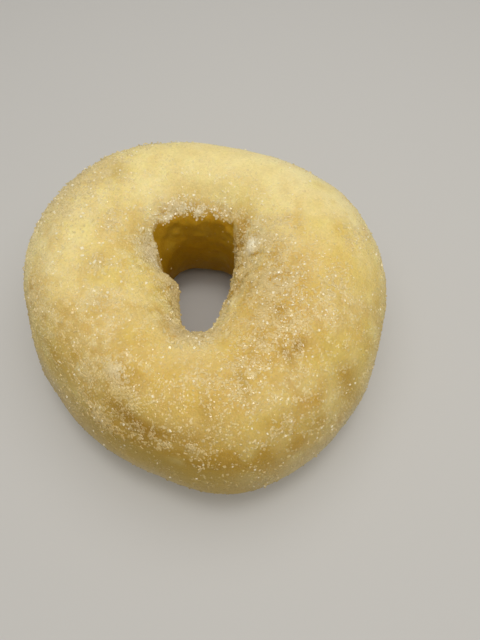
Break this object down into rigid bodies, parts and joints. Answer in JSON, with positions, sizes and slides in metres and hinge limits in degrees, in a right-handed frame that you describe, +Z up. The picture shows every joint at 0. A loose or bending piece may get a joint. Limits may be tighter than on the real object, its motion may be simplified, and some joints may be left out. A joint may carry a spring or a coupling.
{
  "type": "sugared ring doughnut",
  "caption": "Whole fried ring doughnut with a coat of granulated sugar, resting flat round a squarish oval hole.",
  "frame": {"origin": "on the surface the doughnut rests on, under the middle of its box", "axes": "+Z up out of the crown, along the ring's own axis; +Y towards the thicker back of the ring, where the hole is widest; +X to the right seen from the front"},
  "size_m": [0.0856, 0.0846, 0.033],
  "materials": {
    "crust": "pale golden fried crust, matt, with a paler band at the frying line",
    "sugar": "granulated sugar, small sparkling crystals tinted by the crust under them"
  },
  "bodies": {
    "root": {"dough_ring": "crust"}
  },
  "joints": []
}
